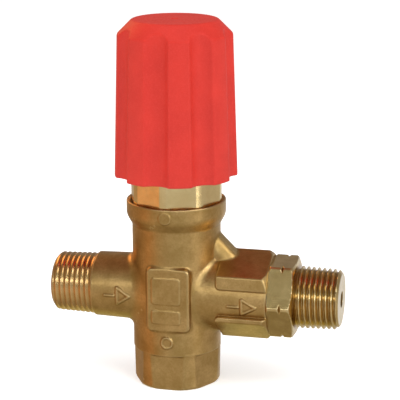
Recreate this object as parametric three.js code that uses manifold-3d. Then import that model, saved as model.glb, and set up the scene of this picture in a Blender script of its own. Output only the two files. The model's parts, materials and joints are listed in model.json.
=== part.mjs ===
// Pressure-washer unloader valve: a brass column with an inlet branch, an outlet branch and a bypass
// port at its foot, and a red knob on top that sets the pressure of the spring inside.
// Units are millimetres. The parts are drawn in the valve's own frame: Z is the column's axis, upwards,
// X is the axis of both branches, with flow towards +X, and they cross at z = 0. At the end the whole
// valve is moved so that the origin is the bottom centre of its bounding box.

import * as THREE from 'three';
import { mergeVertices } from 'three/addons/utils/BufferGeometryUtils.js';
import Module from 'manifold-3d';

const wasm = await Module();
wasm.setup();

// ---- Driving dimensions -------------------------------------------------------------------------

const GAP = 0.3;                    // clearance between neighbouring pieces
const SLIDING_GAP = 0.2;            // clearance round a piece that slides in a bore

// Column
const COLUMN_R = 15.15;
const COLLAR_R = 17;
const COLLAR_BOTTOM = 24;           // where the collar's underside leaves the column
const COLLAR_EDGE = 27.4;           // where the collar reaches its full radius
const COLLAR_TOP = 32.4;
const COLLAR_EDGE_ROUND = 0.9;
const FOOT_BOTTOM = -32.4;
const FOOT_TOP = -20;               // where the wrench hexagon starts
const FOOT_ACROSS_FLATS = 27.8;
const FOOT_CORNER_R = 14.85;        // the corners narrow from the column's radius to this
const FOOT_FACE_R = 14.25;
const FOOT_CHAMFER = 0.6;

// Branches
const INLET_END = -43;
const INLET_THREAD_LENGTH = 14.8;
const INLET_R = 11.2;
const OUTLET_BARREL_R = 13.2;
const OUTLET_BRANCH_END = 33.9;
const OUTLET_HEX_START = 16.5;
const OUTLET_HEX_ACROSS_FLATS = 27;
const OUTLET_HEX_LEAN = 6.3;        // degrees that the front flat faces upwards
const OUTLET_BAND = 9.4;            // height of the band relieved across the front and back flats
const OUTLET_END_R = 14;            // the corners are turned down to this at the end
const OUTLET_CHAMFER = 1.7;
const OUTLET_END = 57.5;
const PIPE_THREAD_R = 10.22;        // half-inch taper pipe thread, outside radius at its small end
const PIPE_THREAD_TAPER = 1 / 32;   // growth of the radius along the thread
const PIPE_THREAD_CHAMFER = 1.5;

// Sensing passage: a drilled boss at 45 degrees between the outlet branch and the column
const WEB_LINE = 29.3;              // x + z on the boss's axis
const WEB_R = 5;
const WEB_LENGTH = 22;
const SENSE_HOLE = { r: 1.6, from: -11, to: 9 };   // measured along the boss from its middle

// Front pad
const PAD = { x: 0.6, z: 0.4, width: 15, height: 22.4, corner: 2, front: -15.7 };

// Bores
const COUNTERBORE_R = 16.1;
const COUNTERBORE_DEPTH = 3;
const BONNET_THREAD_R = 12;
const GUIDE_BORE_R = 9;
const CHAMBER_R = 8;
const SEAT_POCKET_R = 7.5;
const SEAT_POCKET_TOP = -9;
const SEAT_POCKET_BOTTOM = -14;
const BYPASS_PASSAGE_R = 5.5;
const BYPASS_PORT_R = 7.6;          // three-eighths parallel pipe thread
const BYPASS_PORT_DEPTH = 12;
const INLET_BORE_R = 6;
const GUIDE_SHOULDER = 8;
const GUIDE_TOP = 15.2;
const THREAD_BORE_BOTTOM = 15.6;
const CHECK_SEAT_X = 12;
const CHECK_PASSAGE_R = 4.5;
const CHECK_CHAMBER_R = 8;
const FITTING_BORE_X = 24;
const FITTING_THREAD_R = 10;

// Bonnet, with an octagonal wrench collar, and its spring tube
const BONNET_SIDES = 8;
const BONNET_ACROSS_FLATS = 30;
const BONNET_CORNER_R = 15.75;
const BONNET_FLAT_ANGLE = 20.5;     // degrees from the front towards +X
const BONNET_WRENCH_TOP = 40.5;
const TUBE_R = 11.8;
const TUBE_TOP = 77;
const SPRING_CAVITY_R = 9.6;
const SPRING_CAVITY_FLOOR = 31;
const PISTON_BORE_R = 6.5;
const CROSS_HOLE_Z = 18;
const CROSS_HOLE_R = 1.3;

// Knob
const KNOB_RIM = 40.7;
const KNOB_TOP = 93.8;
const KNOB_RIM_R = 20.9;
const KNOB_SHOULDER = 88.9;
const KNOB_SHOULDER_R = 19.4;
const KNOB_FACE_R = 14.5;
const KNOB_SCALLOPS = 8;
const KNOB_SCALLOP_DEPTH = 2.2;
const KNOB_SCALLOP_WIDTH = 24;      // degrees
const KNOB_SCALLOP_ANGLE = -4.6;    // degrees from the front towards +X
const KNOB_SKIRT_BORE_R = 16.9;
const INSERT_R = 14.5;
const INSERT_BOTTOM = 62;
const INSERT_THREAD_TOP = 71.6;
const INSERT_RELIEF_R = 13.1;
const INSERT_WEB = 84;
const INSERT_TOP = 88;

// Springs and rings
const MAIN_SPRING = { meanR: 7.3, wireR: 1.7, turns: 6.5 };
const CHECK_SPRING = { meanR: 4.6, wireR: 0.5, turns: 5 };

const SEGMENTS = 32;
const SMALL_SEGMENTS = 20;
const HOLE_SEGMENTS = 12;

// ---- Materials ----------------------------------------------------------------------------------

const finish = (color, roughness, metalness) =>
  new THREE.MeshStandardMaterial({ color, roughness, metalness });
const forgedBrass = () => finish(0xa8854a, 0.45, 1);
const turnedBrass = () => finish(0xb99a5c, 0.3, 1);
const redPlastic = () => finish(0xd8352c, 0.55, 0);
const rubber = () => finish(0x1c1c1c, 0.8, 0);
const whitePlastic = () => finish(0xe8e6de, 0.6, 0);
const stainless = () => finish(0xb8bcc0, 0.25, 1);
const springSteel = () => finish(0x7d8186, 0.4, 1);

// ---- Solids -------------------------------------------------------------------------------------

function toSolid(geometry) {
  const bare = geometry.clone();
  bare.deleteAttribute('normal');
  bare.deleteAttribute('uv');
  const merged = mergeVertices(bare, 1e-4);
  return new wasm.Manifold(new wasm.Mesh({
    numProp: 3,
    vertProperties: new Float32Array(merged.attributes.position.array),
    triVerts: new Uint32Array(merged.index.array),
  }));
}

function toGeometry(solid) {
  const mesh = solid.getMesh();
  const geometry = new THREE.BufferGeometry();
  geometry.setAttribute('position', new THREE.BufferAttribute(new Float32Array(mesh.vertProperties), 3));
  geometry.setIndex(new THREE.BufferAttribute(new Uint32Array(mesh.triVerts), 1));
  geometry.computeVertexNormals();
  return geometry;
}

const joined = (first, ...others) =>
  toGeometry(others.reduce((sum, other) => sum.add(toSolid(other)), toSolid(first)));

const cut = (first, ...tools) =>
  toGeometry(tools.reduce((rest, tool) => rest.subtract(toSolid(tool)), toSolid(first)));

const common = (first, second) => toGeometry(toSolid(first).intersect(toSolid(second)));

// A solid of revolution about Z. The profile is [radius, height] pairs, up the outside, ending on the
// axis or back at its first point.
function turned(profile, segments = SEGMENTS) {
  const points = profile.map(([radius, height]) => new THREE.Vector2(radius, height));
  return new THREE.LatheGeometry(points, segments).rotateX(Math.PI / 2);
}

// The same about X, with the profile's height along +X.
function turnedAlongX(profile, segments = SEGMENTS) {
  return turned(profile, segments).rotateY(Math.PI / 2);
}

const rod = (radius, from, to, segments = SEGMENTS) =>
  turned([[0, from], [radius, from], [radius, to], [0, to]], segments);

const rodAlongX = (radius, from, to, segments = SEGMENTS) =>
  turnedAlongX([[0, from], [radius, from], [radius, to], [0, to]], segments);

const tube = (inner, outer, from, to, segments = SEGMENTS) =>
  turned([[inner, from], [outer, from], [outer, to], [inner, to], [inner, from]], segments);

// An upright prism with a flat whose outward normal points `flatAngle` degrees from -Y towards +X.
function prism(sides, acrossFlats, from, to, flatAngle = 0) {
  const cornerR = acrossFlats / 2 / Math.cos(Math.PI / sides);
  const geometry = new THREE.CylinderGeometry(cornerR, cornerR, to - from, sides);
  geometry.rotateX(Math.PI / 2);
  geometry.rotateZ(Math.PI / sides + THREE.MathUtils.degToRad(flatAngle));
  return geometry.translate(0, 0, (from + to) / 2);
}

// The same prism along X, with a flat whose outward normal points `flatAngle` degrees from -Y towards +Z.
function prismAlongX(sides, acrossFlats, from, to, flatAngle = 0) {
  return prism(sides, acrossFlats, from, to, -flatAngle).rotateY(Math.PI / 2);
}

const ring = (meanR, sectionR, z) =>
  new THREE.TorusGeometry(meanR, sectionR, 6, SMALL_SEGMENTS).translate(0, 0, z);

const ringAlongX = (meanR, sectionR, x) =>
  new THREE.TorusGeometry(meanR, sectionR, 6, SMALL_SEGMENTS).rotateY(Math.PI / 2).translate(x, 0, 0);

// A helix about Z whose first and last turns lie almost closed.
class CoilCurve extends THREE.Curve {
  constructor(meanR, wireR, turns, from, to) {
    super();
    Object.assign(this, { meanR, wireR, turns, from, to });
  }

  getPoint(t, target = new THREE.Vector3()) {
    const closedPitch = 2 * this.wireR + GAP;
    const openTurns = this.turns - 2;
    const bottom = this.from + this.wireR;
    const top = this.to - this.wireR;
    const openPitch = (top - bottom - 2 * closedPitch) / openTurns;
    const turn = t * this.turns;
    const opened = Math.min(Math.max(turn - 1, 0), openTurns);
    const closed = turn - opened;
    const angle = 2 * Math.PI * turn;
    const height = bottom + closed * closedPitch + opened * openPitch;
    return target.set(this.meanR * Math.cos(angle), this.meanR * Math.sin(angle), height);
  }
}

function coil({ meanR, wireR, turns }, from, to) {
  const section = new THREE.Shape();
  section.absarc(0, 0, wireR, 0, 2 * Math.PI, false);
  return new THREE.ExtrudeGeometry(section, {
    steps: Math.round(turns * 12),
    curveSegments: 3,
    extrudePath: new CoilCurve(meanR, wireR, turns, from, to),
  });
}

const valve = new THREE.Group();

function add(name, geometry, material) {
  const mesh = new THREE.Mesh(geometry, material);
  mesh.name = name;
  valve.add(mesh);
  return mesh;
}

// ---- Body ---------------------------------------------------------------------------------------

// Taper thread along X, drawn as its outside cone with a chamfered end. `end` is the small end, and the
// thread runs from there towards `inward` (+1 or -1 along X).
function taperThread(end, inward, length) {
  const chamferR = PIPE_THREAD_R - PIPE_THREAD_CHAMFER;
  const rootR = PIPE_THREAD_R + length * PIPE_THREAD_TAPER;
  const stations = [
    [0, end],
    [chamferR, end],
    [PIPE_THREAD_R, end + inward * PIPE_THREAD_CHAMFER],
    [rootR, end + inward * length],
    [0, end + inward * length],
  ];
  return turnedAlongX(inward > 0 ? stations : stations.reverse());
}

function bodyOutside() {
  const column = turned([
    [0, FOOT_TOP], [COLUMN_R, FOOT_TOP], [COLUMN_R, COLLAR_BOTTOM], [COLLAR_R, COLLAR_EDGE],
    [COLLAR_R, COLLAR_TOP - COLLAR_EDGE_ROUND], [COLLAR_R - COLLAR_EDGE_ROUND, COLLAR_TOP], [0, COLLAR_TOP],
  ]);
  const footEnvelope = turned([
    [0, FOOT_BOTTOM], [FOOT_FACE_R, FOOT_BOTTOM], [FOOT_CORNER_R, FOOT_BOTTOM + FOOT_CHAMFER],
    [COLUMN_R, FOOT_TOP], [COLUMN_R, FOOT_TOP + 1], [0, FOOT_TOP + 1],
  ]);
  const foot = common(footEnvelope, prism(6, FOOT_ACROSS_FLATS, FOOT_BOTTOM - 1, FOOT_TOP + 1));
  const threadEnd = INLET_END + INLET_THREAD_LENGTH;
  const inlet = joined(
    taperThread(INLET_END, 1, INLET_THREAD_LENGTH + 1),
    rodAlongX(INLET_R, threadEnd, 0),
  );
  const barrel = rodAlongX(OUTLET_BARREL_R, 0, OUTLET_BRANCH_END);
  return joined(column, foot, inlet, barrel, outletHexagon(), web(), pad());
}

// Wrench hexagon round the outlet barrel. Its end corners are turned, and its front and back flats are
// relieved by a band down to the barrel.
function outletHexagon() {
  const length = OUTLET_BRANCH_END - OUTLET_HEX_START;
  const cornerR = OUTLET_HEX_ACROSS_FLATS / 2 / Math.cos(Math.PI / 6);
  const envelope = turnedAlongX([
    [0, OUTLET_HEX_START], [cornerR, OUTLET_HEX_START], [cornerR, OUTLET_BRANCH_END - OUTLET_CHAMFER],
    [OUTLET_END_R, OUTLET_BRANCH_END], [0, OUTLET_BRANCH_END],
  ]);
  const prismPiece = prismAlongX(
    6, OUTLET_HEX_ACROSS_FLATS, OUTLET_HEX_START, OUTLET_BRANCH_END, OUTLET_HEX_LEAN,
  );
  const band = new THREE.BoxGeometry(length + 2, 2 * OUTLET_HEX_ACROSS_FLATS, OUTLET_BAND)
    .translate(OUTLET_HEX_START + length / 2, 0, 0);
  return cut(common(prismPiece, envelope), band);
}

// The boss round the sensing passage runs from the outlet branch up to the column at 45 degrees.
function web() {
  return rod(WEB_R, -WEB_LENGTH / 2, WEB_LENGTH / 2, SMALL_SEGMENTS)
    .rotateY(-Math.PI / 4)
    .translate(WEB_LINE / 2, 0, WEB_LINE / 2);
}

function pad() {
  const { x, z, width, height, corner, front } = PAD;
  const [halfW, halfH] = [width / 2, height / 2];
  const outline = new THREE.Shape();
  outline.absarc(halfW - corner, halfH - corner, corner, 0, Math.PI / 2);
  outline.absarc(corner - halfW, halfH - corner, corner, Math.PI / 2, Math.PI);
  outline.absarc(corner - halfW, corner - halfH, corner, Math.PI, 1.5 * Math.PI);
  outline.absarc(halfW - corner, corner - halfH, corner, 1.5 * Math.PI, 2 * Math.PI);
  const depth = -front - COLUMN_R / 2;
  return new THREE.ExtrudeGeometry(outline, { depth, bevelEnabled: false, curveSegments: 4 })
    .rotateX(Math.PI / 2)
    .translate(x, -COLUMN_R / 2, z);
}

function sensingHole() {
  return rod(SENSE_HOLE.r, SENSE_HOLE.from, SENSE_HOLE.to, HOLE_SEGMENTS)
    .rotateY(-Math.PI / 4)
    .translate(WEB_LINE / 2, 0, WEB_LINE / 2);
}

function bodyBores() {
  const counterboreFloor = COLLAR_TOP - COUNTERBORE_DEPTH;
  const portTop = FOOT_BOTTOM + BYPASS_PORT_DEPTH;
  const columnBore = turned([
    [0, FOOT_BOTTOM - 1], [BYPASS_PORT_R, FOOT_BOTTOM - 1], [BYPASS_PORT_R, portTop],
    [BYPASS_PASSAGE_R, portTop], [BYPASS_PASSAGE_R, SEAT_POCKET_BOTTOM],
    [SEAT_POCKET_R, SEAT_POCKET_BOTTOM], [SEAT_POCKET_R, SEAT_POCKET_TOP],
    [CHAMBER_R, SEAT_POCKET_TOP], [CHAMBER_R, GUIDE_SHOULDER],
    [GUIDE_BORE_R, GUIDE_SHOULDER], [GUIDE_BORE_R, THREAD_BORE_BOTTOM],
    [BONNET_THREAD_R, THREAD_BORE_BOTTOM], [BONNET_THREAD_R, counterboreFloor],
    [COUNTERBORE_R, counterboreFloor], [COUNTERBORE_R, COLLAR_TOP + 1], [0, COLLAR_TOP + 1],
  ]);
  const inletBore = rodAlongX(INLET_BORE_R, INLET_END - 1, 0, SMALL_SEGMENTS);
  const outletBore = turnedAlongX([
    [0, 0], [CHECK_PASSAGE_R, 0], [CHECK_PASSAGE_R, CHECK_SEAT_X],
    [CHECK_CHAMBER_R, CHECK_SEAT_X], [CHECK_CHAMBER_R, FITTING_BORE_X],
    [FITTING_THREAD_R, FITTING_BORE_X], [FITTING_THREAD_R, OUTLET_BRANCH_END + 1],
    [0, OUTLET_BRANCH_END + 1],
  ]);
  return [columnBore, inletBore, outletBore, sensingHole()];
}

add('valve_body', cut(bodyOutside(), ...bodyBores()), forgedBrass());

// ---- Bypass seat at the column's foot -----------------------------------------------------------

const SEAT_BORE_R = 3;
const seatR = SEAT_POCKET_R - GAP;
const seatBottom = SEAT_POCKET_BOTTOM + GAP;
const seatRingR = 0.8;
const seatGroove = { from: -12.6, to: -10.4, r: seatR - 1.6 };
const seatBevel = 1;

add('bypass_seat', turned([
  [SEAT_BORE_R, seatBottom], [seatR, seatBottom], [seatR, seatGroove.from],
  [seatGroove.r, seatGroove.from], [seatGroove.r, seatGroove.to], [seatR, seatGroove.to],
  [seatR, SEAT_POCKET_TOP], [SEAT_BORE_R + seatBevel, SEAT_POCKET_TOP],
  [SEAT_BORE_R, SEAT_POCKET_TOP - seatBevel], [SEAT_BORE_R, seatBottom],
]), stainless());
const seatRingZ = (seatGroove.from + seatGroove.to) / 2;
add('seat_o_ring', ring(seatGroove.r + 0.1 + seatRingR, seatRingR, seatRingZ), rubber());

// ---- Stem guide between the flow chamber and the piston chamber ---------------------------------

const STEM_R = 2.8;
const guideR = GUIDE_BORE_R - GAP;
const guideBottom = GUIDE_SHOULDER + GAP;
const guideBoreR = STEM_R + SLIDING_GAP;
const guideRingR = 0.8;
const guideGroove = { from: 10.5, to: 12.7, r: guideR - 1.7 };
const sealRecess = { width: 2, depth: 2.2 };

add('stem_guide', turned([
  [guideBoreR, guideBottom], [guideR, guideBottom], [guideR, guideGroove.from],
  [guideGroove.r, guideGroove.from], [guideGroove.r, guideGroove.to], [guideR, guideGroove.to],
  [guideR, GUIDE_TOP], [guideBoreR + sealRecess.width, GUIDE_TOP],
  [guideBoreR + sealRecess.width, GUIDE_TOP - sealRecess.depth],
  [guideBoreR, GUIDE_TOP - sealRecess.depth], [guideBoreR, guideBottom],
]), turnedBrass());
const guideRingZ = (guideGroove.from + guideGroove.to) / 2;
add('guide_outer_o_ring', ring(guideGroove.r + 0.1 + guideRingR, guideRingR, guideRingZ), rubber());
add('guide_stem_seal', ring(guideBoreR + 0.15 + guideRingR, guideRingR, GUIDE_TOP - 1.2), rubber());

// ---- Bonnet: thread, wrench octagon and spring tube ---------------------------------------------

const bonnetNoseR = BONNET_THREAD_R - 1.5;
const bonnetSpigotTop = 16;
const bonnetThreadBottom = 20.5;
const bonnetThreadR = BONNET_THREAD_R - GAP;
const bonnetWrenchBottom = COLLAR_TOP - COUNTERBORE_DEPTH + GAP;
const bonnetGroove = { width: 2.6, r: BONNET_THREAD_R - 2.2 };
const stopRingGroove = { from: 74.9, to: 76.3, r: TUBE_R - 0.9 };

function bonnet() {
  const octagon = common(
    prism(BONNET_SIDES, BONNET_ACROSS_FLATS, bonnetWrenchBottom, BONNET_WRENCH_TOP, BONNET_FLAT_ANGLE),
    turned([
      [0, bonnetWrenchBottom], [BONNET_CORNER_R, bonnetWrenchBottom],
      [BONNET_CORNER_R, BONNET_WRENCH_TOP - 1], [BONNET_CORNER_R - 1.5, BONNET_WRENCH_TOP],
      [0, BONNET_WRENCH_TOP],
    ]),
  );
  const shaft = turned([
    [0, GUIDE_TOP + GAP], [GUIDE_BORE_R - GAP, GUIDE_TOP + GAP], [GUIDE_BORE_R - GAP, bonnetSpigotTop],
    [bonnetNoseR, bonnetSpigotTop], [bonnetNoseR, bonnetThreadBottom], [bonnetThreadR, bonnetThreadBottom],
    [bonnetThreadR, bonnetWrenchBottom - bonnetGroove.width],
    [bonnetGroove.r, bonnetWrenchBottom - bonnetGroove.width],
    [bonnetGroove.r, bonnetWrenchBottom + 1], [TUBE_R, bonnetWrenchBottom + 1],
    [TUBE_R, stopRingGroove.from], [stopRingGroove.r, stopRingGroove.from],
    [stopRingGroove.r, stopRingGroove.to], [TUBE_R, stopRingGroove.to], [TUBE_R, TUBE_TOP], [0, TUBE_TOP],
  ]);
  const bore = turned([
    [0, GUIDE_TOP], [PISTON_BORE_R, GUIDE_TOP], [PISTON_BORE_R, SPRING_CAVITY_FLOOR],
    [SPRING_CAVITY_R, SPRING_CAVITY_FLOOR], [SPRING_CAVITY_R, TUBE_TOP + 1], [0, TUBE_TOP + 1],
  ]);
  const crossHoles = [0, 1].map((index) =>
    rodAlongX(CROSS_HOLE_R, -COLUMN_R, COLUMN_R, HOLE_SEGMENTS)
      .rotateZ(index * Math.PI / 2)
      .translate(0, 0, CROSS_HOLE_Z));
  return cut(joined(octagon, shaft), bore, ...crossHoles);
}

add('bonnet', bonnet(), turnedBrass());
add('bonnet_o_ring', ring(bonnetGroove.r + 1.05, 0.9, bonnetWrenchBottom - bonnetGroove.width / 2), rubber());

const stopRingInner = stopRingGroove.r + SLIDING_GAP;
const stopRingOuter = INSERT_RELIEF_R - 0.4;

// A snap ring with its gap at the back.
function stopRing() {
  const [from, to] = [stopRingGroove.from + SLIDING_GAP, stopRingGroove.to - SLIDING_GAP];
  const gap = new THREE.BoxGeometry(4, 6, 4).translate(0, stopRingOuter, (from + to) / 2);
  return cut(tube(stopRingInner, stopRingOuter, from, to, SMALL_SEGMENTS), gap);
}

add('knob_stop_ring', stopRing(), springSteel());

// ---- Piston, its stem and the bypass poppet -----------------------------------------------------

const pistonR = PISTON_BORE_R - SLIDING_GAP;
const pistonBottom = 19.6;
const pistonTop = SPRING_CAVITY_FLOOR + 0.5;
const pistonGroove = { from: 23.4, to: 27.4, r: pistonR - 2 };
const stemHoleR = STEM_R - 0.6;

add('piston', turned([
  [stemHoleR + GAP, pistonBottom], [pistonR, pistonBottom], [pistonR, pistonGroove.from],
  [pistonGroove.r, pistonGroove.from], [pistonGroove.r, pistonGroove.to], [pistonR, pistonGroove.to],
  [pistonR, pistonTop], [stemHoleR + GAP, pistonTop], [stemHoleR + GAP, pistonBottom],
]), stainless());
add('piston_o_ring', ring(pistonGroove.r + 1.05, 0.95, pistonGroove.from + 1.15), rubber());
add('piston_backup_ring',
  tube(pistonGroove.r + 0.1, pistonR - 0.05, pistonGroove.from + 2.3, pistonGroove.to - GAP, SMALL_SEGMENTS),
  whitePlastic());

const poppetTop = -2;
const stemTop = 40;

add('piston_stem', turned([
  [0, poppetTop + GAP], [STEM_R, poppetTop + GAP], [STEM_R, pistonBottom - GAP],
  [stemHoleR, pistonBottom - GAP], [stemHoleR, stemTop], [0, stemTop],
], SMALL_SEGMENTS), stainless());

// The cone closes on the seat's bevelled edge, one clearance above it.
const poppetR = 5;
add('bypass_poppet', turned([
  [0, SEAT_POCKET_TOP - 1.2], [SEAT_BORE_R - 0.6, SEAT_POCKET_TOP - 0.8],
  [poppetR, SEAT_POCKET_TOP + 2.6], [poppetR, poppetTop], [0, poppetTop],
], SMALL_SEGMENTS), stainless());

const lowerPlate = { bottom: pistonTop + GAP, thickness: 3 };
const springSeatR = MAIN_SPRING.meanR - MAIN_SPRING.wireR - GAP;
const plateR = SPRING_CAVITY_R - GAP;
const lowerPlateTop = lowerPlate.bottom + lowerPlate.thickness;

add('lower_spring_plate', turned([
  [stemHoleR + GAP, lowerPlate.bottom], [plateR, lowerPlate.bottom], [plateR, lowerPlateTop],
  [springSeatR, lowerPlateTop], [springSeatR, lowerPlateTop + 1], [stemHoleR + GAP, lowerPlateTop + 1],
  [stemHoleR + GAP, lowerPlate.bottom],
]), springSteel());

const nut = { acrossFlats: 8, height: 3, bottom: lowerPlateTop + 1 + GAP };
const nutTop = nut.bottom + nut.height;
add('stem_nut', cut(
  prism(6, nut.acrossFlats, nut.bottom, nutTop),
  rod(stemHoleR + GAP, nut.bottom - 1, nutTop + 1, SMALL_SEGMENTS),
), stainless());

// ---- Spring, upper plate and knob ---------------------------------------------------------------

const upperPlateBottom = 71;
const upperPlateTop = upperPlateBottom + 3;
const ballR = 2.5;
const ballCentre = INSERT_WEB - 1 - ballR + GAP;
const upperPlatePinTop = ballCentre - ballR + 1;

add('main_spring', coil(MAIN_SPRING, lowerPlateTop + GAP, upperPlateBottom - GAP), springSteel());
// The ball sits in a cup in the pin of the plate and in a shallow cup in the insert.
const ballCup = new THREE.SphereGeometry(ballR + GAP, 16, 10).translate(0, 0, ballCentre);

add('upper_spring_plate', cut(turned([
  [0, upperPlateBottom - 1], [springSeatR, upperPlateBottom - 1], [springSeatR, upperPlateBottom],
  [plateR, upperPlateBottom], [plateR, upperPlateTop], [4, upperPlateTop], [4, upperPlatePinTop],
  [0, upperPlatePinTop],
]), ballCup), springSteel());
add('thrust_ball', new THREE.SphereGeometry(ballR, 16, 10).translate(0, 0, ballCentre), stainless());

add('knob_insert', cut(turned([
  [TUBE_R + GAP, INSERT_BOTTOM], [INSERT_R, INSERT_BOTTOM], [INSERT_R, INSERT_TOP], [0, INSERT_TOP],
  [0, INSERT_WEB], [INSERT_RELIEF_R, INSERT_WEB], [INSERT_RELIEF_R, INSERT_THREAD_TOP],
  [TUBE_R + GAP, INSERT_THREAD_TOP], [TUBE_R + GAP, INSERT_BOTTOM],
]), ballCup), turnedBrass());

// The scallops are cut by round tools that lean with the knob's draft. A tool's radius follows from the
// scallop's depth and from the angle it spans on the knob's outside.
function scallopTools() {
  const middleR = (KNOB_RIM_R + KNOB_SHOULDER_R) / 2;
  const middleZ = (KNOB_RIM + KNOB_SHOULDER) / 2;
  const floorR = middleR - KNOB_SCALLOP_DEPTH;
  const halfWidth = Math.cos(THREE.MathUtils.degToRad(KNOB_SCALLOP_WIDTH / 2));
  const toolR = (middleR ** 2 + floorR ** 2 - 2 * middleR * floorR * halfWidth)
    / (2 * (middleR * halfWidth - floorR));
  const draft = Math.atan2(KNOB_RIM_R - KNOB_SHOULDER_R, KNOB_SHOULDER - KNOB_RIM);
  return Array.from({ length: KNOB_SCALLOPS }, (_, index) => {
    const angle = THREE.MathUtils.degToRad(KNOB_SCALLOP_ANGLE + index * 360 / KNOB_SCALLOPS);
    return rod(toolR, -40, 40, 24)
      .rotateX(-draft)
      .translate(0, -(floorR + toolR), middleZ)
      .rotateZ(angle);
  });
}

function knob() {
  const cavityTop = INSERT_TOP + GAP;
  const cavityR = INSERT_R + GAP;
  const ledge = INSERT_BOTTOM - GAP;
  const outside = turned([
    [KNOB_SKIRT_BORE_R, KNOB_RIM], [KNOB_RIM_R - 0.5, KNOB_RIM], [KNOB_RIM_R, KNOB_RIM + 0.6],
    [KNOB_SHOULDER_R, KNOB_SHOULDER], [KNOB_FACE_R, KNOB_TOP], [0, KNOB_TOP], [0, cavityTop],
    [cavityR, cavityTop], [cavityR, ledge], [KNOB_SKIRT_BORE_R, ledge - 3], [KNOB_SKIRT_BORE_R, KNOB_RIM],
  ], 48);
  return cut(outside, ...scallopTools());
}

add('knob', knob(), redPlastic());

// ---- Check valve and outlet fitting -------------------------------------------------------------

const checkFace = CHECK_SEAT_X + GAP;
const checkStemR = 3.6;
const checkStemEnd = 20;
const sealRingR = 0.7;

add('check_poppet', turnedAlongX([
  [0, checkFace - 2.2], [CHECK_PASSAGE_R - 0.5, checkFace - 2.2], [CHECK_PASSAGE_R - 0.5, checkFace + 0.2],
  [CHECK_PASSAGE_R - 0.1, checkFace + 0.2], [CHECK_PASSAGE_R - 0.1, checkFace + 1.8],
  [CHECK_CHAMBER_R - 1, checkFace + 1.8], [CHECK_CHAMBER_R - 1, checkFace + 3.2],
  [checkStemR, checkFace + 3.2], [checkStemR, checkStemEnd], [0, checkStemEnd],
], SMALL_SEGMENTS), turnedBrass());
add('check_seal_ring', ringAlongX(CHECK_PASSAGE_R + 0.1 + sealRingR, sealRingR, checkFace + 1), rubber());

const fittingNose = 25.5;
const noseCupR = 6.2;
const noseCupDepth = 2;
const checkSpringFrom = checkFace + 3.2 + GAP;
const checkSpringTo = fittingNose + noseCupDepth - GAP;
add('check_spring', coil(CHECK_SPRING, checkSpringFrom, checkSpringTo).rotateY(Math.PI / 2), springSteel());

const FITTING_ACROSS_FLATS = 25;
const FITTING_HEX = { from: 34.6, to: 42.4 };
const FITTING_HEX_ANGLE = 27.5;     // degrees that the first flat faces upwards from the front
const FITTING_GROOVE_X = 38.4;
const FITTING_BORE_R = 2.7;
const fittingThreadR = FITTING_THREAD_R - GAP;
const fittingCornerR = FITTING_ACROSS_FLATS / 2 / Math.cos(Math.PI / 6);
const fittingGroove = { from: 31, to: 33.4, r: FITTING_THREAD_R - 2 };

// The nose is hollow to take the check poppet's stem, and cupped at its end for the spring.
function outletFitting() {
  const envelope = turnedAlongX([
    [0, FITTING_HEX.from], [fittingCornerR - 0.6, FITTING_HEX.from], [fittingCornerR, FITTING_HEX.from + 0.5],
    [fittingCornerR, FITTING_GROOVE_X - 0.7], [fittingCornerR - 0.8, FITTING_GROOVE_X],
    [fittingCornerR, FITTING_GROOVE_X + 0.7], [fittingCornerR, FITTING_HEX.to - 1.2],
    [FITTING_ACROSS_FLATS / 2 - 0.6, FITTING_HEX.to], [0, FITTING_HEX.to],
  ]);
  const hexagon = common(
    envelope,
    prismAlongX(6, FITTING_ACROSS_FLATS, FITTING_HEX.from, FITTING_HEX.to, FITTING_HEX_ANGLE),
  );
  const shank = turnedAlongX([
    [0, fittingNose], [fittingThreadR - 0.8, fittingNose], [fittingThreadR, fittingNose + 0.8],
    [fittingThreadR, fittingGroove.from], [fittingGroove.r, fittingGroove.from],
    [fittingGroove.r, fittingGroove.to], [fittingThreadR, fittingGroove.to],
    [fittingThreadR, FITTING_HEX.from + 1], [0, FITTING_HEX.from + 1],
  ]);
  const threadLength = OUTLET_END - FITTING_HEX.to + 0.5;
  const outerThread = taperThread(OUTLET_END, -1, threadLength);
  const stemPocketR = checkStemR + 0.6;
  const stemPocketEnd = 30;
  const bore = turnedAlongX([
    [0, fittingNose - 1], [noseCupR, fittingNose - 1], [noseCupR, fittingNose + noseCupDepth],
    [stemPocketR, fittingNose + noseCupDepth], [stemPocketR, stemPocketEnd],
    [FITTING_BORE_R, stemPocketEnd], [FITTING_BORE_R, OUTLET_END + 1], [0, OUTLET_END + 1],
  ]);
  return cut(joined(hexagon, shank, outerThread), bore);
}

add('outlet_fitting', outletFitting(), turnedBrass());
const fittingRingX = (fittingGroove.from + fittingGroove.to) / 2;
add('outlet_o_ring', ringAlongX(fittingGroove.r + 1, 0.9, fittingRingX), rubber());

// ---- Origin: bottom centre of the bounding box --------------------------------------------------

valve.position.set(-(INLET_END + OUTLET_END) / 2, 0, -FOOT_BOTTOM);

export default valve;
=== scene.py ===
"""Looks of the pressure-washer unloader valve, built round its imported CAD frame.

Shapes are drawn in millimetres in the valve's own frame: Z is the column's axis, X is the axis of both
branches with flow towards +X, and the two cross at the origin. place() moves them into the frame.

Three kinds of surface are used. A moulded or forged piece is a distance field, meshed on a grid and then
pulled onto the field's surface, so that its edges and corners are rounded. A turned piece is a stack of
rings, each with its own radius at every angle, which gives hexagons with turned corners and threads that
wind. A spring is a wire swept along its coil.
"""

import json
import math

import bpy
import numpy as np
from mathutils import Matrix, Vector


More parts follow.
